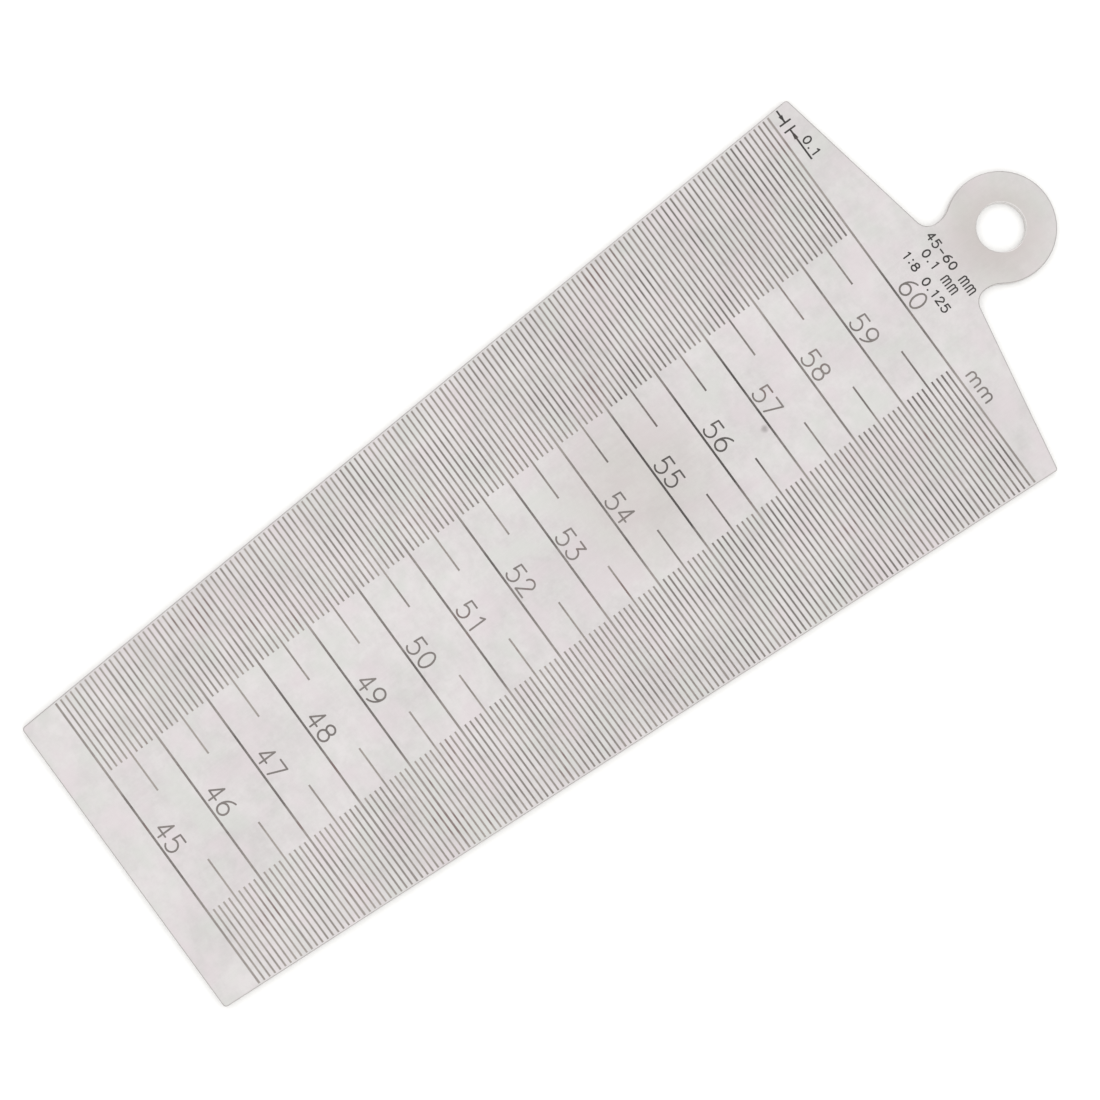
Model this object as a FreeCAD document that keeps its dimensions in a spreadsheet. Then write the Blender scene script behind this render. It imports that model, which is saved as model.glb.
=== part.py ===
"""Taper gap gauge, 45 to 60 mm in steps of 0.1 mm, as a parametric FreeCAD document.

One hardened stainless leaf carries etched recesses, and each recess holds a filling of black enamel.
The leaf is the cut of a blank with the etching cutters. Each filling is what the same cutters share
with the enamel layer, so a filling always fits its own recess.

Frame: +Z leaves the marked face, +Y runs from the narrow end to the hanging eye, +X is the direction
in which the numerals read. The origin is the centre of the leaf's box in X and Y, on the back face.
"""

import FreeCAD, Part
import os

import Sketcher

Vector = FreeCAD.Vector

DIMENSIONS = {
    # Scale: the width of the leaf is the reading.
    "first_width": 45,        # reading at the first graduation
    "width_span": 15,         # last reading minus first reading
    "taper_run": 8,           # length of leaf for each millimetre of width
    "steps_per_mm": 10,
    # Leaf outline.
    "lead_in": 5.4,           # narrow end to first graduation
    "lead_out": 3.5,          # last graduation to shoulder corner
    "shoulder_angle": 10.9,   # slope of the shoulders, degrees off square
    "neck_width": 10.9,
    "eye_rise": 16.6,         # last graduation to centre of the eye
    "eye_radius": 7.5,
    "hole_radius": 3.3,
    "narrow_corner_radius": 0.5,
    "shoulder_corner_radius": 0.4,
    "shoulder_fillet_radius": 2.0,
    "eye_fillet_radius": 3.5,
    "thickness": 1.2,
    "edge_radius": 0.2,
    # Etching and enamel.
    "etch_depth": 0.05,
    "enamel_gap": 0.01,       # the enamel ends this far below the face
    "cutter_rise": 0.2,       # how far a cutter stands above the face
    "edge_margin": 0.28,      # bare rim outside the ends of the lines
    "line_width": 0.26,
    "whole_line_width": 0.3,
    "tenth_inner": 11.05,     # axis to inner end of a tenth line
    "half_inner": 5.45,
    # Numerals.
    "numeral_width": 1.5,
    "numeral_height": 2.45,
    "numeral_stroke": 0.25,
    "numeral_gap": 0.53,      # line centre to foot of a numeral
    "numeral_pitch": 2.23,
    "numeral_shift": 0.3,     # the pair stands a little to the right of the axis
    # Small lettering.
    "small_width": 0.78,
    "small_height": 1.12,
    "small_stroke": 0.21,
    "small_pitch": 1.2,
    # Unit mark.
    "unit_width": 1.49,
    "unit_height": 1.2,
    "unit_pitch": 2.12,
    "unit_start": 13.1,       # axis to the first stem
    "unit_gap": 1.0,
    # Key that names the step: two bars, two arrows and a leader.
    "key_gap": 1.53,          # last graduation to the leader
    "key_outer_bar": 27.86,
    "key_inner_bar": 26.8,
    "key_bar_length": 1.8,
    "key_bar_width": 0.24,
    "key_leader_end": 21.92,
    "outer_arrow_length": 1.1,
    "inner_arrow_length": 1.5,
    "arrow_width": 0.6,
    "key_figure_start": 24.72,
    "key_figure_gap": 2.0,
    # Range, step and taper, in three rows below the neck.
    "lower_row_gap": 3.6,
    "middle_row_gap": 5.85,
    "upper_row_gap": 7.75,
}

LENGTH = "(dims.lead_in + dims.width_span * dims.taper_run + dims.eye_rise + dims.eye_radius)"
FIRST_LINE = f"(dims.lead_in - {LENGTH} / 2)"
LAST_LINE = f"({FIRST_LINE} + dims.width_span * dims.taper_run)"
NARROW_END = f"(-{LENGTH} / 2)"
SHOULDER = f"({LAST_LINE} + dims.lead_out)"
EYE_CENTRE = f"({LAST_LINE} + dims.eye_rise)"
PITCH = "(dims.taper_run / dims.steps_per_mm)"
ETCH_FLOOR = "(dims.thickness - dims.etch_depth)"
CUTTER_HEIGHT = "(dims.etch_depth + dims.cutter_rise)"
BEYOND_EDGE = "(dims.first_width / 2 + dims.width_span / 2 + dims.edge_margin)"

doc = FreeCAD.newDocument("taper_gauge")


# ---------------------------------------------------------------- sheet and expressions

def make_sheet():
    """Puts the driving dimensions into a spreadsheet, one named cell each."""
    sheet = doc.addObject("Spreadsheet::Sheet", "dims")
    for row, (name, size) in enumerate(DIMENSIONS.items(), start=1):
        sheet.set(f"A{row}", name)
        sheet.set(f"B{row}", str(size))
        sheet.setAlias(f"B{row}", name)
    doc.recompute()
    return sheet


def value(expression):
    """Gives the present number of an expression of the sheet's cells."""
    result = doc.dims.evalExpression(str(expression))
    return float(getattr(result, "Value", result))


def half_width_at(position):
    """Expression for half the leaf's width at a place along its axis."""
    return f"(dims.first_width / 2 + ({position} - {FIRST_LINE}) / dims.taper_run / 2)"


# ---------------------------------------------------------------- sketches and features

def make_body(name):
    """Makes a body that may hold several separate solids."""
    body = doc.addObject("PartDesign::Body", name)
    body.AllowCompound = True
    return body


def origin_feature(body, role):
    """Finds one of the body's own origin planes or axes."""
    return next(item for item in body.Origin.OriginFeatures if item.Role == role)


def flat_sketch(body, name, height):
    """Makes a sketch parallel to the body's XY plane, at a bound height."""
    sketch = body.newObject("Sketcher::SketchObject", name)
    sketch.AttachmentSupport = [(origin_feature(body, "XY_Plane"), "")]
    sketch.MapMode = "FlatFace"
    sketch.setExpression(".AttachmentOffset.Base.z", height)
    return sketch


def bind(sketch, kind, geometry, point, expression):
    """Holds one point of the sketch at a bound distance from the origin."""
    constraint = Sketcher.Constraint(kind, -1, 1, geometry, point, value(expression))
    index = sketch.addConstraint(constraint)
    sketch.setExpression(f"Constraints[{index}]", expression)


def polygon(sketch, corners):
    """Draws a closed polygon whose corners are pairs of expressions."""
    points = [Vector(value(across), value(along), 0) for across, along in corners]
    edges = []
    for start, end in zip(points, points[1:] + points[:1]):
        edges.append(sketch.addGeometry(Part.LineSegment(start, end), False))
    for edge, following in zip(edges, edges[1:] + edges[:1]):
        sketch.addConstraint(Sketcher.Constraint("Coincident", edge, 2, following, 1))
    for edge, (across, along) in zip(edges, corners):
        bind(sketch, "DistanceX", edge, 1, across)
        bind(sketch, "DistanceY", edge, 1, along)


def rectangle(sketch, left, right, bottom, top):
    """Draws a rectangle between four expressions."""
    polygon(sketch, [(left, bottom), (right, bottom), (right, top), (left, top)])


def circle_on_axis(sketch, along, radius):
    """Draws a circle centred on the Y axis."""
    centre = Vector(0, value(along), 0)
    ring = sketch.addGeometry(Part.Circle(centre, Vector(0, 0, 1), value(radius)), False)
    sketch.addConstraint(Sketcher.Constraint("PointOnObject", ring, 3, -2))
    bind(sketch, "DistanceY", ring, 3, along)
    index = sketch.addConstraint(Sketcher.Constraint("Radius", ring, value(radius)))
    sketch.setExpression(f"Constraints[{index}]", radius)


def pad(body, sketch, length):
    """Pads a sketch upwards by a bound length."""
    feature = body.newObject("PartDesign::Pad", f"{sketch.Name}_pad")
    feature.Profile = sketch
    feature.setExpression("Length", length)
    doc.recompute()
    return feature


def repeat_along(body, feature, step, count):
    """Repeats a pad along the body's Y axis and makes the row the body's tip."""
    row = body.newObject("PartDesign::LinearPattern", f"{feature.Name}_row")
    row.Originals = [feature]
    row.Direction = (origin_feature(body, "Y_Axis"), [""])
    row.Mode = "Spacing"
    row.setExpression("Offset", step)
    row.setExpression("Occurrences", count)
    body.Tip = row
    doc.recompute()


def fillet(body, base, radius, chosen):
    """Rounds every edge of a feature that the chosen test accepts."""
    names = [f"Edge{number}" for number, edge in enumerate(base.Shape.Edges, start=1) if chosen(edge)]
    feature = body.newObject("PartDesign::Fillet", f"{radius.split('.')[-1]}_fillet")
    feature.Base = (base, names)
    feature.setExpression("Radius", radius)
    doc.recompute()
    return feature


def compound(name, members):
    """Groups objects without joining them."""
    group = doc.addObject("Part::Compound", name)
    group.Links = members
    return group


# ---------------------------------------------------------------- blank

def is_upright_at(along_low, along_high):
    """Test for an edge that stands along Z between two places along the axis."""
    def test(edge):
        box = edge.BoundBox
        upright = box.ZLength > value("dims.thickness") / 2
        return upright and value(along_low) < box.Center.y < value(along_high)
    return test


def is_rim(edge):
    """Test for an edge that lies in the marked face or in the back face."""
    return edge.BoundBox.ZLength < value("dims.edge_radius") / 2


def make_blank():
    """The leaf before etching: tapered blade, shoulders, neck and pierced eye, with rounded rims."""
    body = make_body("leaf_blank")
    narrow_half = half_width_at(NARROW_END)
    shoulder_half = half_width_at(SHOULDER)
    neck_half = "(dims.neck_width / 2)"
    neck_foot = f"({SHOULDER} + ({shoulder_half} - {neck_half}) * tan(dims.shoulder_angle))"

    outline = flat_sketch(body, "blade_outline", "0")
    right_side = [
        (narrow_half, NARROW_END),
        (shoulder_half, SHOULDER),
        (neck_half, neck_foot),
        (neck_half, EYE_CENTRE),
    ]
    left_side = [(f"(-{across})", along) for across, along in reversed(right_side)]
    polygon(outline, right_side + left_side)
    pad(body, outline, "dims.thickness")

    eye = flat_sketch(body, "eye_outline", "0")
    circle_on_axis(eye, EYE_CENTRE, "dims.eye_radius")
    last = pad(body, eye, "dims.thickness")

    eye_foot = f"({EYE_CENTRE} - dims.eye_radius)"
    corners = [
        ("dims.narrow_corner_radius", f"({NARROW_END} - 1)", FIRST_LINE),
        ("dims.shoulder_corner_radius", LAST_LINE, f"({SHOULDER} + 1)"),
        ("dims.shoulder_fillet_radius", f"({SHOULDER} + 1)", eye_foot),
        ("dims.eye_fillet_radius", f"({eye_foot} + 1)", EYE_CENTRE),
    ]
    for radius, low, high in corners:
        last = fillet(body, last, radius, is_upright_at(low, high))

    hole = flat_sketch(body, "hole_outline", "0")
    circle_on_axis(hole, EYE_CENTRE, "dims.hole_radius")
    pocket = body.newObject("PartDesign::Pocket", "eye_hole")
    pocket.Profile = hole
    pocket.Type = "ThroughAll"
    pocket.Reversed = True
    doc.recompute()
    fillet(body, pocket, "dims.edge_radius", is_rim)
    return body


# ---------------------------------------------------------------- etching cutters

def make_layer(name, height):
    """A sheet inside the bare rim, from the etching floor up: it ends the lines short of the edges."""
    body = make_body(name)
    top = f"({EYE_CENTRE} - dims.eye_radius)"
    low_half = f"({half_width_at(NARROW_END)} - dims.edge_margin)"
    high_half = f"({half_width_at(top)} - dims.edge_margin)"
    outline = flat_sketch(body, f"{name}_outline", ETCH_FLOOR)
    polygon(outline, [
        (f"(-{low_half})", NARROW_END),
        (low_half, NARROW_END),
        (high_half, top),
        (f"(-{high_half})", top),
    ])
    pad(body, outline, height)
    return body


def make_line_row(name, first_steps, left, right, width, period, count):
    """A row of graduation cutters: the first few lines, then the same again along the scale."""
    body = make_body(name)
    sketch = flat_sketch(body, f"{name}_lines", ETCH_FLOOR)
    for step in first_steps:
        centre = f"({FIRST_LINE} + {step} * {PITCH})"
        half_line = f"{width} / 2"
        rectangle(sketch, left, right, f"({centre} - {half_line})", f"({centre} + {half_line})")
    lines = pad(body, sketch, CUTTER_HEIGHT)
    repeat_along(body, lines, f"{period} * {PITCH}", count)
    return body


def mirrored(name, source):
    """The same cutters on the other side of the axis."""
    copy = doc.addObject("Part::Mirroring", name)
    copy.Source = source
    copy.Normal = Vector(1, 0, 0)
    return copy


def make_graduation_cutters():
    """Cutters of the tenth, half and whole millimetre lines, keyed by the name of their filling."""
    half_step = "(dims.steps_per_mm / 2)"
    tenth = make_line_row("tenth_cutters", range(1, 5), "dims.tenth_inner", BEYOND_EDGE,
                          "dims.line_width", half_step, "2 * dims.width_span")
    half = make_line_row("half_cutters", [half_step], "dims.half_inner", BEYOND_EDGE,
                         "dims.line_width", "dims.steps_per_mm", "dims.width_span")
    whole = make_line_row("whole_cutters", [0], f"(-{BEYOND_EDGE})", BEYOND_EDGE,
                          "dims.whole_line_width", "dims.steps_per_mm", "dims.width_span + 1")
    return {
        "right_tenth_graduations": tenth,
        "left_tenth_graduations": mirrored("left_tenth_cutters", tenth),
        "right_half_graduations": half,
        "left_half_graduations": mirrored("left_half_cutters", half),
        "whole_millimetre_graduations": whole,
    }


# ---------------------------------------------------------------- lettering

class Lettering:
    """One size of single-stroke figures: its cell and stroke, from the sheet, and its masters."""

    def __init__(self, name, width, height, stroke):
        self.name = name
        self.width = value(width)
        self.height = value(height)
        self.stroke = stroke
        self.masters = {}

    def place(self, point):
        """Turns a place in the unit cell into a place in the sketch."""
        return Vector(point[0] * self.width, point[1] * self.height, 0)

    def solid(self, outline, name):
        """Extrudes a closed outline to the height of a cutter."""
        cutter = doc.addObject("Part::Extrusion", name)
        cutter.Base = outline
        cutter.DirMode = "Normal"
        cutter.Solid = True
        cutter.setExpression("LengthFwd", CUTTER_HEIGHT)
        return cutter

    def stroke_cutter(self, stroke, name):
        """Cutter of one bent stroke: two points make a straight run, three points make an arc."""
        path = doc.addObject("Sketcher::SketchObject", f"{name}_path")
        for run in stroke:
            points = [self.place(point) for point in run]
            curve = Part.LineSegment(*points) if len(points) == 2 else Part.Arc(*points)
            path.addGeometry(curve, False)
        band = doc.addObject("Part::Offset2D", f"{name}_band")
        band.Source = path
        band.Mode = "Pipe"
        band.Join = "Arc"
        band.Fill = True
        band.setExpression("Value", f"{self.stroke} / 2")
        return self.solid(band, name)

    def bar_cutter(self, bar, name):
        """Cutter of one straight stroke with round ends."""
        start, end = [self.place(point) for point in bar]
        half = value(self.stroke) / 2
        ahead = Vector(end - start).normalize() * half
        aside = Vector(-ahead.y, ahead.x, 0)
        path = doc.addObject("Sketcher::SketchObject", f"{name}_path")
        path.addGeometry(Part.LineSegment(start - aside, end - aside), False)
        path.addGeometry(Part.Arc(end - aside, end + ahead, end + aside), False)
        path.addGeometry(Part.LineSegment(end + aside, start + aside), False)
        path.addGeometry(Part.Arc(start + aside, start - ahead, start - aside), False)
        return self.solid(path, name)

    def ring_cutter(self, ring, name):
        """Cutter of a closed oval stroke. It is a hair wider than an open one, which so ends inside it."""
        centre, radii = ring
        middle = self.place(centre)
        reach = self.place(radii)
        swell = RING_SWELL + value(self.stroke) / 2
        path = doc.addObject("Sketcher::SketchObject", f"{name}_path")
        for side in (-swell, swell):
            across = middle + Vector(reach.x + side, 0, 0)
            along = middle + Vector(0, reach.y + side, 0)
            tall = reach.y > reach.x
            ends = (along, across) if tall else (across, along)
            path.addGeometry(Part.Ellipse(*ends, middle), False)
        return self.solid(path, name)

    def dot_cutter(self, centre, name):
        """Cutter of a round point, a little wider than the stroke."""
        radius = DOT_SIZE * value(self.stroke)
        path = doc.addObject("Sketcher::SketchObject", f"{name}_path")
        path.addGeometry(Part.Circle(self.place(centre), Vector(0, 0, 1), radius), False)
        return self.solid(path, name)

    def master(self, character):
        """The cutter of one character, made when it is first asked for."""
        if character not in self.masters:
            self.masters[character] = self.make_master(character)
        return self.masters[character]

    def make_master(self, character):
        """Fuses the cutters of a character's strokes, rings and dots."""
        glyph = GLYPHS[character]
        name = f"{self.name}_{glyph['name']}"
        makers = {
            "strokes": self.stroke_cutter,
            "bars": self.bar_cutter,
            "rings": self.ring_cutter,
            "dots": self.dot_cutter,
        }
        cutters = []
        for kind, make in makers.items():
            for number, shape in enumerate(glyph.get(kind, []), start=1):
                cutters.append(make(shape, f"{name}_{kind}_{number}"))
        if len(cutters) == 1:
            return cutters[0]
        fused = doc.addObject("Part::MultiFuse", name)
        fused.Shapes = cutters
        return fused


RING_SWELL = 0.01
DOT_SIZE = 0.65


def turned(glyph, name):
    """The same character turned upside down in its cell."""
    def turn(point):
        return (1 - point[0], 1 - point[1])
    return {
        "name": name,
        "strokes": [[tuple(turn(point) for point in run) for run in stroke] for stroke in glyph["strokes"]],
        "rings": [(turn(centre), radii) for centre, radii in glyph["rings"]],
    }


# Characters in a unit cell: x from 0 to 1 across, y from 0 at the foot to 1 at the head. A character
# takes one pitch of its row unless it has an advance of its own.
GLYPHS = {
    "0": {"name": "zero", "rings": [((0.5, 0.5), (0.5, 0.5))]},
    "1": {"name": "one", "strokes": [[((0.28, 0.84), (0.62, 1.0)), ((0.62, 1.0), (0.62, 0.0))]]},
    "2": {"name": "two", "strokes": [[
        ((0.04, 0.74), (0.5, 1.0), (0.94, 0.68)),
        ((0.94, 0.68), (0.0, 0.0)),
        ((0.0, 0.0), (1.0, 0.0)),
    ]]},
    "3": {"name": "three", "strokes": [[
        ((0.08, 1.0), (0.88, 1.0)),
        ((0.88, 1.0), (0.4, 0.6)),
        ((0.4, 0.6), (0.98, 0.3), (0.0, 0.1)),
    ]]},
    "4": {
        "name": "four",
        "strokes": [[((1.0, 0.3), (0.0, 0.3)), ((0.0, 0.3), (0.68, 1.0))]],
        "bars": [((0.68, 0.99), (0.68, 0.0))],
    },
    "5": {"name": "five", "strokes": [[
        ((0.9, 1.0), (0.14, 1.0)),
        ((0.14, 1.0), (0.06, 0.55)),
        ((0.06, 0.55), (0.98, 0.32), (0.0, 0.1)),
    ]]},
    "6": {
        "name": "six",
        "strokes": [[((0.84, 1.0), (0.22, 0.74), (0.0, 0.33))]],
        "rings": [((0.5, 0.31), (0.5, 0.31))],
    },
    "7": {"name": "seven", "strokes": [[((0.0, 1.0), (1.0, 1.0)), ((1.0, 1.0), (0.34, 0.0))]]},
    "8": {"name": "eight", "rings": [((0.5, 0.29), (0.5, 0.29)), ((0.5, 0.775), (0.42, 0.225))]},
    "m": {"name": "em", "advance": 1.2, "strokes": [
        [((0.0, 0.0), (0.0, 0.72)), ((0.0, 0.72), (0.31, 1.0), (0.62, 0.72)), ((0.62, 0.72), (0.62, 0.0))],
        [((0.63, 0.72), (0.94, 1.0), (1.25, 0.72)), ((1.25, 0.72), (1.25, 0.0))],
    ]},
    "-": {"name": "dash", "bars": [((0.1, 0.45), (0.9, 0.45))]},
    ".": {"name": "point", "advance": 0.6, "dots": [(0.2, 0.04)]},
    ":": {"name": "colon", "advance": 0.6, "dots": [(0.2, 0.18), (0.2, 0.78)]},
    " ": {"name": "space"},
}
GLYPHS["9"] = turned(GLYPHS["6"], "nine")


def advance(character):
    """How many pitches a character takes."""
    return GLYPHS[character].get("advance", 1)


def write(name, text, lettering, start, pitch, foot):
    """Sets a row of characters as links to their masters. A space leaves its place empty."""
    links = []
    travelled = 0
    for number, character in enumerate(text, start=1):
        if character != " ":
            link = doc.addObject("App::Link", f"{name}_{number}")
            link.LinkedObject = lettering.master(character)
            link.setExpression("Placement.Base.x", f"{start} + {travelled} * {pitch}")
            link.setExpression("Placement.Base.y", foot)
            link.setExpression("Placement.Base.z", ETCH_FLOOR)
            links.append(link)
        travelled += advance(character)
    return compound(f"{name}_cutter", links)


def centred_start(text, pitch, width):
    """Expression for the place of the first character of a row centred on the axis."""
    pitches = sum(advance(character) for character in text) - 1
    return f"(-({pitches} * {pitch} + {width}) / 2)"


def make_numeral_cutters():
    """Cutters of the numerals: one pair of figures on the eye's side of each whole line."""
    figures = Lettering("figure", "dims.numeral_width", "dims.numeral_height", "dims.numeral_stroke")
    first = round(value("dims.first_width"))
    cutters = {}
    for place in range(round(value("dims.width_span")) + 1):
        text = str(first + place)
        name = f"numeral_{text}"
        middle = centred_start(text, "dims.numeral_pitch", "dims.numeral_width")
        start = f"({middle} + dims.numeral_shift)"
        foot = f"({FIRST_LINE} + {place} * dims.taper_run + dims.numeral_gap)"
        cutters[name] = write(name, text, figures, start, "dims.numeral_pitch", foot)
    return cutters


def make_unit_cutter():
    """Cutter of the unit mark beside the last numeral."""
    letters = Lettering("unit", "dims.unit_width", "dims.unit_height", "dims.numeral_stroke")
    foot = f"({LAST_LINE} + dims.unit_gap)"
    return write("unit_mark", "mm", letters, "dims.unit_start", "dims.unit_pitch", foot)


def make_text_cutters(small):
    """Cutters of the three rows below the neck: range, step and taper."""
    rows = {
        "range_mark": ("45-60 mm", "dims.upper_row_gap"),
        "step_mark": ("0.1 mm", "dims.middle_row_gap"),
        "taper_mark": ("1:8 0.125", "dims.lower_row_gap"),
    }
    cutters = {}
    for name, (text, gap) in rows.items():
        start = centred_start(text, "dims.small_pitch", "dims.small_width")
        cutters[name] = write(name, text, small, start, "dims.small_pitch", f"({LAST_LINE} + {gap})")
    return cutters


def make_key_cutter(small):
    """Cutter of the key: arrows from both sides at two bars, a leader, and the size of one step."""
    body = make_body("key_body")
    axis = f"({LAST_LINE} + dims.key_gap)"
    half_shaft = "dims.line_width / 2"
    half_bar = "dims.key_bar_width / 2"
    half_length = "dims.key_bar_length / 2"
    bars = ("dims.key_outer_bar", "dims.key_inner_bar")

    bar_sketch = flat_sketch(body, "key_bars", ETCH_FLOOR)
    for bar in bars:
        rectangle(bar_sketch, f"(-{bar} - {half_bar})", f"(-{bar} + {half_bar})",
                  f"({axis} - {half_length})", f"({axis} + {half_length})")
    pad(body, bar_sketch, CUTTER_HEIGHT)

    shaft_sketch = flat_sketch(body, "key_shafts", ETCH_FLOOR)
    shafts = [
        (f"(-{BEYOND_EDGE})", "(-dims.key_outer_bar)"),
        ("(-dims.key_inner_bar)", "(-dims.key_leader_end)"),
    ]
    for left, right in shafts:
        rectangle(shaft_sketch, left, right, f"({axis} - {half_shaft})", f"({axis} + {half_shaft})")
    pad(body, shaft_sketch, CUTTER_HEIGHT)

    head_sketch = flat_sketch(body, "key_arrow_heads", ETCH_FLOOR)
    lengths = ("(-dims.outer_arrow_length)", "dims.inner_arrow_length")
    for bar, length in zip(bars, lengths):
        base = f"(-{bar} + {length})"
        polygon(head_sketch, [
            (f"(-{bar})", axis),
            (base, f"({axis} + dims.arrow_width / 2)"),
            (base, f"({axis} - dims.arrow_width / 2)"),
        ])
    pad(body, head_sketch, CUTTER_HEIGHT)

    figure = write("key_figure", "0.1", small, "(-dims.key_figure_start)", "dims.small_pitch",
                   f"({LAST_LINE} + dims.key_figure_gap)")
    return compound("key_cutter", [body, figure])


# ---------------------------------------------------------------- nodes

def make_nodes():
    """Makes the leaf and every enamel filling, each labelled with its node name."""
    blank = make_blank()
    etch_layer = make_layer("etch_layer", CUTTER_HEIGHT)
    enamel_layer = make_layer("enamel_layer", "dims.etch_depth - dims.enamel_gap")

    small = Lettering("small", "dims.small_width", "dims.small_height", "dims.small_stroke")
    cutters = make_graduation_cutters()
    cutters.update(make_numeral_cutters())
    cutters["unit_mark"] = make_unit_cutter()
    cutters["tenth_key"] = make_key_cutter(small)
    cutters.update(make_text_cutters(small))

    etching = doc.addObject("Part::Common", "etching")
    etching.Base = compound("all_cutters", list(cutters.values()))
    etching.Tool = etch_layer
    leaf = doc.addObject("Part::Cut", "gauge_leaf")
    leaf.Base = blank
    leaf.Tool = etching

    nodes = [leaf]
    for name, cutter in cutters.items():
        filling = doc.addObject("Part::Common", f"{name}_filling")
        filling.Base = cutter
        filling.Tool = enamel_layer
        filling.Label = name
        nodes.append(filling)
    doc.recompute()
    return nodes


def check(nodes):
    """Stops the macro if an object failed or a node holds no valid solid."""
    for item in doc.Objects:
        if "Invalid" in item.State or "Error" in item.State:
            raise RuntimeError(f"{item.Label} failed: {item.State}")
    for node in nodes:
        shape = node.Shape
        if shape.isNull() or not shape.isValid() or not shape.Solids:
            raise RuntimeError(f"{node.Label} has no valid solid")


def export(nodes):
    """Writes each node to a STEP file of its own name."""
    os.makedirs("parts", exist_ok=True)
    for node in nodes:
        node.Shape.exportStep(f"parts/{node.Label}.step")


make_sheet()
all_nodes = make_nodes()
check(all_nodes)
export(all_nodes)
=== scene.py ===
import logging
import math
from dataclasses import dataclass
from enum import Enum
from typing import Any

import bpy
from mathutils import Matrix, Vector


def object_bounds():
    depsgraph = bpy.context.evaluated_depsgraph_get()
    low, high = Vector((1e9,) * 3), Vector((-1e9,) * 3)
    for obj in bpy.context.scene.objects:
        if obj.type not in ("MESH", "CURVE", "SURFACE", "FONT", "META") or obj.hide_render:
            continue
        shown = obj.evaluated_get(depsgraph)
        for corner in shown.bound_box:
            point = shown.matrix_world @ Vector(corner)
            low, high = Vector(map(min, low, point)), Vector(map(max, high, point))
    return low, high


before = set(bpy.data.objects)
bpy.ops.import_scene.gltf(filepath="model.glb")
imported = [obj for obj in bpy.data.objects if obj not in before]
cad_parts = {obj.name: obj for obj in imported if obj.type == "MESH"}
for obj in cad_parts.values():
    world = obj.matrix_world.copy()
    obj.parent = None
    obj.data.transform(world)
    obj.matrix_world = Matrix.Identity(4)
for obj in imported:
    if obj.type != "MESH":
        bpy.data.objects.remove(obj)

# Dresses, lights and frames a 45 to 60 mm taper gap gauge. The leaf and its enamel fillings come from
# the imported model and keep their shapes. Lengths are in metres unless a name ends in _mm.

CAD_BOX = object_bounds()
LOG = logging.getLogger("taper_gauge")
MM = 0.001
SMOOTH = {"interpolation_type": "SMOOTHSTEP"}
# Nearly all of a noise's values lie between these two.
NOISE_LOW, NOISE_HIGH = 0.3, 0.7


class Kind(Enum):
    """Shader nodes that the finishes use."""

    COORDINATES = "ShaderNodeTexCoord"
    MAPPING = "ShaderNodeMapping"
    NOISE = "ShaderNodeTexNoise"
    MIX = "ShaderNodeMix"
    RANGE = "ShaderNodeMapRange"
    MATH = "ShaderNodeMath"
    VECTOR_MATH = "ShaderNodeVectorMath"
    SEPARATE = "ShaderNodeSeparateXYZ"
    BUMP = "ShaderNodeBump"
    SURFACE = "ShaderNodeBsdfPrincipled"
    OUTPUT = "ShaderNodeOutputMaterial"


def add_node(
    tree: bpy.types.NodeTree,
    kind: Kind,
    inputs: dict[str, Any] | list[Any],
    **settings: Any,
) -> bpy.types.Node:
    """Adds one node, with its settings, its constants and its links.

    Args:
        tree: Node tree that takes the node.
        kind: Kind of node.
        inputs: What goes into the node's sockets, by name or in order: a constant, the output that
            feeds the socket, or a node whose first output feeds it.
        **settings: Properties of the node itself.

    Returns:
        The new node.
    """
    node = tree.nodes.new(kind.value)
    for name, setting in settings.items():
        setattr(node, name, setting)
    live = [socket for socket in node.inputs if socket.enabled]
    if isinstance(inputs, dict):
        pairs = [(next(socket for socket in live if socket.name == name), inputs[name]) for name in inputs]
    else:
        pairs = list(zip(live, inputs))
    for socket, given in pairs:
        if isinstance(given, bpy.types.Node):
            given = next(output for output in given.outputs if output.enabled)
        if isinstance(given, bpy.types.NodeSocket):
            tree.links.new(given, socket)
        else:
            socket.default_value = given
    return node


def colour(code: str) -> tuple[float, float, float, float]:
    """Turns an sRGB hex code into a linear colour.

    Args:
        code: Six hex digits after a hash sign.

    Returns:
        Linear red, green and blue, and an alpha of one.
    """
    channels = [int(code[place:place + 2], 16) / 255 for place in (1, 3, 5)]
    linear = [c / 12.92 if c <= 0.04045 else ((c + 0.055) / 1.055) ** 2.4 for c in channels]
    return (linear[0], linear[1], linear[2], 1.0)


def scale_for(size_mm: float) -> float:
    """Gives the texture scale at which one feature of a pattern is so many millimetres wide."""
    return 1 / (size_mm * MM)


def empty_material(name: str) -> bpy.types.Material:
    """Makes a material whose node tree is still empty.

    Args:
        name: Name of the material.

    Returns:
        The material.
    """
    material = bpy.data.materials.new(name)
    material.use_nodes = True
    material.node_tree.nodes.clear()
    return material


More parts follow.
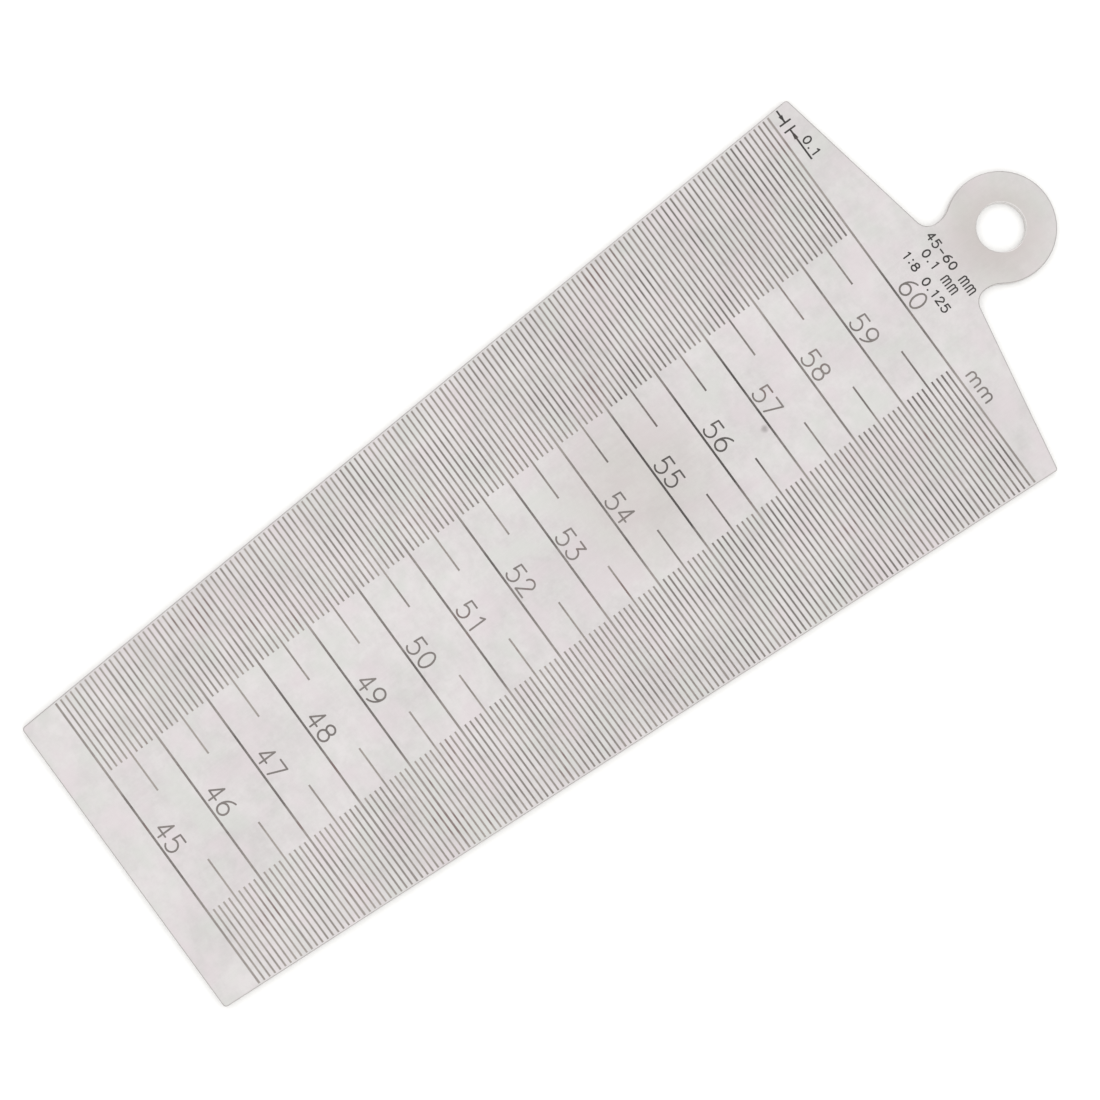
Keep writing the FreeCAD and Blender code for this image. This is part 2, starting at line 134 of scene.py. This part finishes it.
@dataclass(frozen=True)
class Patch:
    """A soft-edged, uneven region of the marked face where the surface differs a little.

    Core and reach are where the patch starts to fall off and where it ends, as shares of its radius.
    Fraying is how far noise moves its outline, as a share of the radius too.
    """

    across_mm: float
    along_mm: float
    radius_mm: float
    strength: float
    core: float = 0.5
    reach: float = 1.5
    fraying: float = 0.6

    def share(self, tree: bpy.types.NodeTree, place: Any, fray: Any) -> bpy.types.Node:
        """Adds the nodes that give the patch's share at each point.

        Args:
            tree: Node tree that takes them.
            place: Object coordinates.
            fray: Noise that makes the outline uneven.

        Returns:
            The node whose output falls from the patch's strength to zero.
        """
        centre = (self.across_mm * MM, self.along_mm * MM, CAD_BOX[1].z)
        radius = self.radius_mm * MM
        distance = add_node(tree, Kind.VECTOR_MATH, [place, centre], operation="DISTANCE")
        spread = add_node(tree, Kind.MATH, [fray, self.fraying * radius], operation="MULTIPLY")
        frayed = add_node(tree, Kind.MATH, [distance.outputs["Value"], spread], operation="ADD")
        return add_node(tree, Kind.RANGE, {
            "Value": frayed,
            "From Min": self.core * radius,
            "From Max": self.reach * radius,
            "To Min": self.strength,
            "To Max": 0.0,
        }, **SMOOTH)


@dataclass(frozen=True)
class SatinStainless:
    """Stainless steel, surface-ground along its length and then fine-blasted to a satin.

    A surface that faces up or down by less than the first number of wall_facing is wholly wall, and by
    more than the second isn't wall at all. The same goes for rim_facing and the rounded rims.
    """

    pale: str = "#C7C3C2"
    cloudy: str = "#BAB6B5"
    warm: str = "#C5BCBE"
    cool: str = "#BDBEB9"
    # Painted shade: the grey of the rounded rims, which darkens the leaf's outline.
    rim_painted_shade: str = "#B4B0AE"
    # Painted light: the pale tone of the walls, lighter than the faces to lift the shade they reflect.
    wall_painted_light: str = "#D0CCCA"
    # Painted highlight: the pale tone of the rim and wall of the eye's hole.
    hole_highlight_tone: str = "#D8D5D3"
    stain: str = "#6F6B69"
    darker_patch_tone: str = "#ADA7A2"
    roughness: float = 0.42
    roughness_swing: float = 0.03
    rim_gloss: float = 0.14
    wall_gloss: float = 0.1
    cloud_mm: float = 16.0
    tint_mm: float = 5.0
    mottle_mm: float = 2.4
    grit_mm: float = 0.35
    grain_width_mm: float = 0.2
    grain_length_mm: float = 12.0
    scratch_width_mm: float = 0.3
    scratch_length_mm: float = 26.0
    scratch_angle: float = math.radians(34.0)
    wall_facing: tuple[float, float] = (0.1, 0.4)
    rim_facing: tuple[float, float] = (0.86, 0.995)
    relief_mm: float = 0.0014
    grain_depth: float = 0.6
    pit_depth: float = 0.4
    spot: Patch = Patch(across_mm=3.05, along_mm=25.9, radius_mm=0.6, strength=0.5)
    # Two broad patches where the face is darker, one near the middle and one at the eye end.
    darker_middle_patch: Patch = Patch(across_mm=-0.5, along_mm=8.5, radius_mm=13.0, strength=0.42)
    darker_eye_end_patch: Patch = Patch(across_mm=0.0, along_mm=66.0, radius_mm=9.0, strength=0.65)
    # Painted highlight: the ring round the eye's hole where the rim and wall are painted lighter.
    hole_highlight_ring: Patch = Patch(
        across_mm=0.0, along_mm=67.25, radius_mm=5.0, strength=1.0, core=0.9, reach=1.1, fraying=0.1,
    )

    def build(self) -> bpy.types.Material:
        """Builds the steel of the leaf.

        Returns:
            The material.
        """
        # Blasting gives the eye an even, pale satin; the ground grain under it shows as faint streaks
        # along the leaf. Both are finer than the render shows, so they are drawn a few times coarser.
        material = empty_material("satin_ground_stainless_steel")
        tree = material.node_tree
        coordinates = add_node(tree, Kind.COORDINATES, {})
        place = coordinates.outputs["Object"]
        wall, rim = self.edge_shares(tree, coordinates.outputs["Normal"])
        grit = add_node(tree, Kind.NOISE, {
            "Vector": place, "Scale": scale_for(self.grit_mm), "Detail": 3.0, "Roughness": 0.6,
        })
        cloud = add_node(tree, Kind.NOISE, {
            "Vector": place, "Scale": scale_for(self.cloud_mm), "Detail": 3.0, "Roughness": 0.55,
        })
        grain = self.ground_grain(tree, place)
        scratches = self.stray_scratches(tree, place)
        steel = self.tones(tree, place, cloud, grit)

        # The rounded rim is painted grey, a painted shade that gives the leaf the darker outline its rounded
        # rims show.
        # The walls are painted lighter than the faces, painted light that lifts the shade they reflect from
        # the table.
        # The rim and wall of the eye's hole are painted lighter still, a painted highlight that takes away
        # the ring of shade there.
        rim_rub_and_hole_light = self.hole_highlight_ring.share(tree, place, cloud)
        for share, tone in ((rim, self.rim_painted_shade), (wall, self.wall_painted_light)):
            edge = add_node(tree, Kind.MIX, {
                "Factor": rim_rub_and_hole_light, "A": colour(tone), "B": colour(self.hole_highlight_tone),
            }, data_type="RGBA")
            steel = add_node(tree, Kind.MIX, {
                "Factor": share, "A": steel, "B": edge,
            }, data_type="RGBA")

        ridges = add_node(tree, Kind.MATH, [grain, self.grain_depth], operation="MULTIPLY")
        pits = add_node(tree, Kind.MATH, [grit, self.pit_depth], operation="MULTIPLY")
        height = add_node(tree, Kind.MATH, [ridges, pits], operation="ADD")
        height = add_node(tree, Kind.MATH, [height, scratches], operation="SUBTRACT")
        relief = add_node(tree, Kind.BUMP, {
            "Height": height, "Distance": self.relief_mm * MM, "Strength": 1.0,
        })
        surface = add_node(tree, Kind.SURFACE, {
            "Base Color": steel,
            "Metallic": 1.0,
            "Roughness": self.gloss(tree, cloud, grain, rim, wall),
            "Normal": relief,
        })
        add_node(tree, Kind.OUTPUT, {"Surface": surface})
        return material

    def edge_shares(self, tree: bpy.types.NodeTree, normal: Any) -> tuple[bpy.types.Node, bpy.types.Node]:
        """Tells the leaf's upright walls and rounded rims from its faces, by the way they face.

        Args:
            tree: Node tree that takes the nodes.
            normal: Normal in object coordinates.

        Returns:
            The nodes that are one on the walls and one on the rims.
        """
        facing = add_node(tree, Kind.SEPARATE, [normal])
        upright = add_node(tree, Kind.MATH, [facing.outputs["Z"]], operation="ABSOLUTE")
        wall, tilted = (
            add_node(tree, Kind.RANGE, {
                "Value": upright, "From Min": low, "From Max": high, "To Min": 1.0, "To Max": 0.0,
            }, **SMOOTH)
            for low, high in (self.wall_facing, self.rim_facing)
        )
        rim = add_node(tree, Kind.MATH, [tilted, wall], operation="SUBTRACT", use_clamp=True)
        return wall, rim

    def tones(
        self, tree: bpy.types.NodeTree, place: Any, cloud: bpy.types.Node, grit: bpy.types.Node,
    ) -> bpy.types.Node:
        """Adds the steel's colour: clouds, mottle, faint tints, two broad darker patches and a small stain.

        Args:
            tree: Node tree that takes the nodes.
            place: Object coordinates.
            cloud: Broad noise.
            grit: Fine noise.

        Returns:
            The node that gives the colour.
        """
        tint = add_node(tree, Kind.NOISE, {
            "Vector": place, "Scale": scale_for(self.tint_mm), "Detail": 2.0, "Roughness": 0.6,
        })
        mottle = add_node(tree, Kind.NOISE, {
            "Vector": place, "Scale": scale_for(self.mottle_mm), "Detail": 4.0, "Roughness": 0.72,
        })
        cloudy = add_node(tree, Kind.RANGE, {
            "Value": cloud, "From Min": 0.35, "From Max": 0.7, "To Max": 0.35,
        }, **SMOOTH)
        mottled = add_node(tree, Kind.RANGE, {
            "Value": mottle, "From Min": NOISE_LOW, "From Max": NOISE_HIGH, "To Max": 0.65,
        }, **SMOOTH)
        dulled = add_node(tree, Kind.MATH, [cloudy, mottled], operation="ADD")
        warmer = add_node(tree, Kind.RANGE, {
            "Value": tint, "From Min": 0.48, "From Max": 0.68, "To Max": 0.6,
        }, **SMOOTH)
        cooler = add_node(tree, Kind.RANGE, {
            "Value": tint, "From Min": 0.3, "From Max": 0.5, "To Min": 0.6, "To Max": 0.0,
        }, **SMOOTH)
        steel = add_node(tree, Kind.MIX, {
            "Factor": dulled, "A": colour(self.pale), "B": colour(self.cloudy),
        }, data_type="RGBA")
        for share, tone in (
            (warmer, self.warm),
            (cooler, self.cool),
            (self.darker_middle_patch.share(tree, place, cloud), self.darker_patch_tone),
            (self.darker_eye_end_patch.share(tree, place, cloud), self.darker_patch_tone),
            (self.spot.share(tree, place, grit), self.stain),
        ):
            steel = add_node(tree, Kind.MIX, {
                "Factor": share, "A": steel, "B": colour(tone),
            }, data_type="RGBA")
        return steel

    def gloss(
        self, tree: bpy.types.NodeTree, cloud: Any, grain: Any, rim: Any, wall: Any,
    ) -> bpy.types.Node:
        """Adds the steel's roughness. Rims and walls are rubbed by use and grinding, and a little glossier.

        Args:
            tree: Node tree that takes the nodes.
            cloud: Broad noise.
            grain: Streaks along the leaf.
            rim: One on the rims.
            wall: One on the walls.

        Returns:
            The node that gives the roughness.
        """
        swing = self.roughness_swing
        rough = add_node(tree, Kind.RANGE, {
            "Value": cloud,
            "From Min": NOISE_LOW,
            "From Max": NOISE_HIGH,
            "To Min": self.roughness - swing,
            "To Max": self.roughness + swing,
        }, **SMOOTH)
        streaky = add_node(tree, Kind.RANGE, {
            "Value": grain, "From Min": NOISE_LOW, "From Max": NOISE_HIGH, "To Min": -swing, "To Max": swing,
        }, **SMOOTH)
        rim_rub_and_hole_light = add_node(tree, Kind.MATH, [rim, self.rim_gloss], operation="MULTIPLY")
        ground = add_node(tree, Kind.MATH, [wall, self.wall_gloss], operation="MULTIPLY")
        rough = add_node(tree, Kind.MATH, [rough, streaky], operation="ADD")
        rough = add_node(tree, Kind.MATH, [rough, rim_rub_and_hole_light], operation="SUBTRACT")
        return add_node(tree, Kind.MATH, [rough, ground], operation="SUBTRACT")

    def ground_grain(self, tree: bpy.types.NodeTree, place: Any) -> bpy.types.Node:
        """Adds the streaks that grinding leaves along the leaf.

        Args:
            tree: Node tree that takes the nodes.
            place: Object coordinates.

        Returns:
            The node that gives the streaks.
        """
        fine, long = scale_for(self.grain_width_mm), scale_for(self.grain_length_mm)
        stretched = add_node(tree, Kind.MAPPING, {"Vector": place, "Scale": (fine, long, fine)})
        return add_node(tree, Kind.NOISE, {
            "Vector": stretched, "Scale": 1.0, "Detail": 2.0, "Roughness": 0.6,
        })

    def stray_scratches(self, tree: bpy.types.NodeTree, place: Any) -> bpy.types.Node:
        """Adds a few hairline scratches that lie askew, as a bench and a pocket leave.

        Args:
            tree: Node tree that takes the nodes.
            place: Object coordinates.

        Returns:
            The node that gives the depth of the scratches, mostly zero.
        """
        fine, long = scale_for(self.scratch_width_mm), scale_for(self.scratch_length_mm)
        turned = add_node(tree, Kind.MAPPING, {
            "Vector": place, "Rotation": (0.0, 0.0, self.scratch_angle),
        })
        stretched = add_node(tree, Kind.MAPPING, {"Vector": turned, "Scale": (fine, long, fine)})
        lines = add_node(tree, Kind.NOISE, {
            "Vector": stretched, "Scale": 1.0, "Detail": 1.0, "Roughness": 0.5,
        })
        return add_node(tree, Kind.RANGE, {
            "Value": lines, "From Min": 0.7, "From Max": 0.78, "To Max": 0.5,
        }, **SMOOTH)


@dataclass(frozen=True)
class BlackEnamel:
    """Black stoving enamel, wiped into the etched recesses and baked."""

    name: str
    dense: str
    thin: str
    brown: str = "#6A5451"
    patch_mm: float = 6.0
    speck_mm: float = 0.4
    pimple_mm: float = 0.002
    roughness: float = 0.55
    roughness_swing: float = 0.08
    refraction: float = 1.5
    fuller: Patch = Patch(across_mm=0.0, along_mm=16.0, radius_mm=13.0, strength=0.8)
    fade: float = 0.0
    fade_stop: float = 0.7
    edge_wipe: float = 0.0
    edge_wipe_from_mm: float = 4.0
    edge_wipe_to_mm: float = 14.0

    def build(self) -> bpy.types.Material:
        """Builds the enamel.

        Returns:
            The material.
        """
        # Wiping leaves the enamel dense in some stretches and thin in others, where it turns a little
        # brown in the oven, so a line's tone wanders along its length.
        material = empty_material(self.name)
        tree = material.node_tree
        coordinates = add_node(tree, Kind.COORDINATES, {})
        place = coordinates.outputs["Object"]
        patch = add_node(tree, Kind.NOISE, {
            "Vector": place, "Scale": scale_for(self.patch_mm), "Detail": 3.0, "Roughness": 0.6,
        })
        speck = add_node(tree, Kind.NOISE, {
            "Vector": place, "Scale": scale_for(self.speck_mm), "Detail": 2.0, "Roughness": 0.6,
        })
        tone = add_node(tree, Kind.MIX, {
            "Factor": self.thinness(tree, place, patch, speck),
            "A": colour(self.dense),
            "B": colour(self.thin),
        }, data_type="RGBA")
        scorched = add_node(tree, Kind.RANGE, {
            "Value": patch, "From Min": 0.58, "From Max": 0.72, "To Max": 0.7,
        }, **SMOOTH)
        tone = add_node(tree, Kind.MIX, {
            "Factor": scorched, "A": tone, "B": colour(self.brown),
        }, data_type="RGBA")
        rough = add_node(tree, Kind.RANGE, {
            "Value": speck,
            "From Min": NOISE_LOW,
            "From Max": NOISE_HIGH,
            "To Min": self.roughness - self.roughness_swing,
            "To Max": self.roughness + self.roughness_swing,
        }, **SMOOTH)
        relief = add_node(tree, Kind.BUMP, {
            "Height": speck, "Distance": self.pimple_mm * MM, "Strength": 1.0,
        })
        surface = add_node(tree, Kind.SURFACE, {
            "Base Color": tone, "Roughness": rough, "IOR": self.refraction, "Normal": relief,
        })
        add_node(tree, Kind.OUTPUT, {"Surface": surface})
        return material

    def thinness(
        self, tree: bpy.types.NodeTree, place: Any, patch: bpy.types.Node, speck: bpy.types.Node,
    ) -> bpy.types.Node:
        """Says how far the enamel was wiped away at each point.

        Args:
            tree: Node tree that takes the nodes.
            place: Object coordinates.
            patch: Broad noise.
            speck: Fine noise.

        Returns:
            The node that is zero where the enamel is dense and one where it is thin.
        """
        wiped = add_node(tree, Kind.RANGE, {
            "Value": patch, "From Min": 0.34, "From Max": 0.6, "To Min": 0.55, "To Max": 1.0,
        }, **SMOOTH)
        grainy = add_node(tree, Kind.RANGE, {
            "Value": speck, "From Min": 0.3, "From Max": 0.65, "To Min": 0.75, "To Max": 1.0,
        }, **SMOOTH)
        share = add_node(tree, Kind.MATH, [wiped, grainy], operation="MULTIPLY")
        # A fade means that the face was wiped harder towards the narrow end, and an edge wipe that it
        # was wiped harder towards the measuring edges than along the middle.
        axes = add_node(tree, Kind.SEPARATE, [place])
        outward = add_node(tree, Kind.MATH, [axes.outputs["X"]], operation="ABSOLUTE")
        edges = add_node(tree, Kind.RANGE, {
            "Value": outward,
            "From Min": self.edge_wipe_from_mm * MM,
            "From Max": self.edge_wipe_to_mm * MM,
            "To Min": -self.edge_wipe,
            "To Max": self.edge_wipe,
        }, **SMOOTH)
        faded = add_node(tree, Kind.RANGE, {
            "Value": axes.outputs["Y"],
            "From Min": CAD_BOX[0].y,
            "From Max": self.fade_stop * CAD_BOX[1].y,
            "To Min": self.fade,
            "To Max": -self.fade,
        })
        share = add_node(tree, Kind.MATH, [share, faded], operation="ADD")
        share = add_node(tree, Kind.MATH, [share, edges], operation="ADD")
        fuller = self.fuller.share(tree, place, patch)
        return add_node(tree, Kind.MATH, [share, fuller], operation="SUBTRACT", use_clamp=True)


@dataclass(frozen=True)
class MattBoard:
    """Pale emulsion on board, as on a studio table."""

    pale: str = "#F6F5F3"
    shade: str = "#F1F0EE"
    tone_mm: float = 120.0
    roughness: float = 0.85

    def build(self) -> bpy.types.Material:
        """Builds the table's surface.

        Returns:
            The material.
        """
        # Roller stipple is too soft to see here: it leaves only a trace of unevenness in the tone.
        material = empty_material("matt_emulsion_board")
        tree = material.node_tree
        coordinates = add_node(tree, Kind.COORDINATES, {})
        tone = add_node(tree, Kind.NOISE, {
            "Vector": coordinates.outputs["Object"], "Scale": scale_for(self.tone_mm), "Detail": 2.0,
        })
        paint = add_node(tree, Kind.MIX, {
            "Factor": tone, "A": colour(self.pale), "B": colour(self.shade),
        }, data_type="RGBA")
        surface = add_node(tree, Kind.SURFACE, {"Base Color": paint, "Roughness": self.roughness})
        add_node(tree, Kind.OUTPUT, {"Surface": surface})
        return material


def put_on(node: str, material: bpy.types.Material) -> None:
    """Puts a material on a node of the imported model.

    Args:
        node: Name of the node.
        material: Material that it gets.
    """
    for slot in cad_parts[node].material_slots:
        slot.material = material
    LOG.info("%s: %s", node, material.name)


@dataclass
class GaugeLeaf:
    """The one steel leaf of the gauge."""

    node: str = "gauge_leaf"
    steel: SatinStainless = SatinStainless()

    def dress(self) -> None:
        """Gives the leaf its steel."""
        put_on(self.node, self.steel.build())


class Filling(Enum):
    """How much enamel stays in a recess when the face is wiped."""

    THIN = BlackEnamel("black_enamel_wiped_thin", "#4C4643", "#948D87", fade=0.28)
    UNEVEN = BlackEnamel("black_enamel_wiped_at_edges", "#413C39", "#8E8782", edge_wipe=0.3)
    MIDDLING = BlackEnamel("black_enamel_wiped", "#4A4542", "#7B7470")
    FULL = BlackEnamel("black_enamel_full", "#151211", "#2A2623")


@dataclass
class Markings:
    """Every enamel filling: graduations, numerals, unit, key and data rows."""

    leaf: str = "gauge_leaf"
    finely_ruled: tuple[str, ...] = (
        "left_tenth_graduations",
        "right_tenth_graduations",
        "left_half_graduations",
        "right_half_graduations",
    )
    long_ruled: tuple[str, ...] = ("whole_millimetre_graduations",)
    deeply_etched: tuple[str, ...] = ("tenth_key", "range_mark", "step_mark", "taper_mark")

    def nodes(self) -> list[str]:
        """Names every node except the leaf."""
        return sorted(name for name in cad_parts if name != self.leaf)

    def filling_of(self, name: str) -> Filling:
        """Says how full a marking is.

        Args:
            name: Name of the marking's node.

        Returns:
            The filling.
        """
        for names, filling in (
            (self.finely_ruled, Filling.THIN),
            (self.long_ruled, Filling.UNEVEN),
            (self.deeply_etched, Filling.FULL),
        ):
            if name in names:
                return filling
        return Filling.MIDDLING

    def dress(self) -> None:
        """Gives every marking its enamel."""
        enamels = {filling: filling.value.build() for filling in Filling}
        for name in self.nodes():
            put_on(name, enamels[self.filling_of(name)])


@dataclass(frozen=True)
class Softbox:
    """A large, even studio light."""

    name: str
    place: tuple[float, float, float]
    width: float
    height: float
    radiance: float

    def build(self, target: Vector) -> None:
        """Hangs the light so that it faces the gauge.

        Args:
            target: Point that it faces.
        """
        lamp = bpy.data.lights.new(self.name, "AREA")
        lamp.shape = "RECTANGLE"
        lamp.size = self.width
        lamp.size_y = self.height
        # A flat lamp's power is its radiance times pi and its area.
        lamp.energy = self.radiance * math.pi * self.width * self.height
        hung = bpy.data.objects.new(self.name, lamp)
        hung.location = target + Vector(self.place)
        hung.rotation_euler = Vector(self.place).to_track_quat("Z", "Y").to_euler()
        bpy.context.scene.collection.objects.link(hung)
        LOG.info("%s: hung", self.name)


@dataclass(frozen=True)
class Viewpoint:
    """A camera on a stand over the table, a little off the square and turned about its line of sight."""

    target_mm: tuple[float, float] = (-0.69, -6.24)
    distance: float = 0.4223
    lens_mm: float = 106.3
    lean: float = math.radians(4.97)
    lean_bearing: float = math.radians(-82.2)
    turn: float = math.radians(53.73)
    clip_start: float = 0.01

    def build(self, face_height: float) -> None:
        """Sets up the camera.

        Args:
            face_height: Height of the marked face above the table.
        """
        sideways = Vector((math.cos(self.lean_bearing), math.sin(self.lean_bearing), 0.0))
        sight = math.sin(self.lean) * sideways + math.cos(self.lean) * Vector((0.0, 0.0, 1.0))
        top = Vector((-math.sin(self.turn), math.cos(self.turn), 0.0))
        top = (top - top.dot(sight) * sight).normalized()
        right = top.cross(sight)
        target = Vector((self.target_mm[0] * MM, self.target_mm[1] * MM, face_height))
        lens = bpy.data.cameras.new("camera")
        lens.lens = self.lens_mm
        lens.clip_start = self.clip_start
        camera = bpy.data.objects.new("camera", lens)
        turned = Matrix((right, top, sight)).transposed().to_4x4()
        camera.matrix_world = Matrix.Translation(target + self.distance * sight) @ turned
        bpy.context.scene.collection.objects.link(camera)
        bpy.context.scene.camera = camera


@dataclass
class Studio:
    """Table, soft light and camera around the gauge."""

    table_size: float = 12.0
    table_gap: float = 0.00002
    sky: str = "#F2F3F4"
    sky_strength: float = 0.92
    board: MattBoard = MattBoard()
    lights: tuple[Softbox, ...] = (
        Softbox("overhead_softbox", (0.1, -0.1, 0.9), 2.2, 2.2, 0.64),
        Softbox("side_softbox", (-0.9, 0.5, 0.6), 0.6, 0.6, 1.1),
    )
    viewpoint: Viewpoint = Viewpoint()

    def build(self) -> None:
        """Builds the table, the lights and the camera."""
        low, high = CAD_BOX
        self.lay_table(low.z)
        self.light_sky()
        middle = (low + high) / 2
        for light in self.lights:
            light.build(middle)
        self.viewpoint.build(high.z)
        bpy.context.scene.view_settings.view_transform = "Standard"

    def lay_table(self, level: float) -> None:
        """Lays the table top just under the gauge.

        Args:
            level: Height of the gauge's back face.
        """
        bpy.ops.object.select_all(action="DESELECT")
        bpy.ops.mesh.primitive_plane_add(size=self.table_size, location=(0, 0, level - self.table_gap))
        table = bpy.context.active_object
        table.name = "table_top"
        bpy.ops.object.transform_apply(location=True, rotation=True, scale=True)
        table.data.materials.append(self.board.build())
        LOG.info("%s: laid", table.name)

    def light_sky(self) -> None:
        """Fills the room with an even pale light."""
        world = bpy.data.worlds.new("pale_room")
        world.use_nodes = True
        background = world.node_tree.nodes["Background"]
        background.inputs["Color"].default_value = colour(self.sky)
        background.inputs["Strength"].default_value = self.sky_strength
        bpy.context.scene.world = world


def main() -> None:
    """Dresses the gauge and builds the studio."""
    logging.basicConfig(level=logging.INFO, format="%(message)s")
    GaugeLeaf().dress()
    Markings().dress()
    Studio().build()


if __name__ == "__main__":
    main()
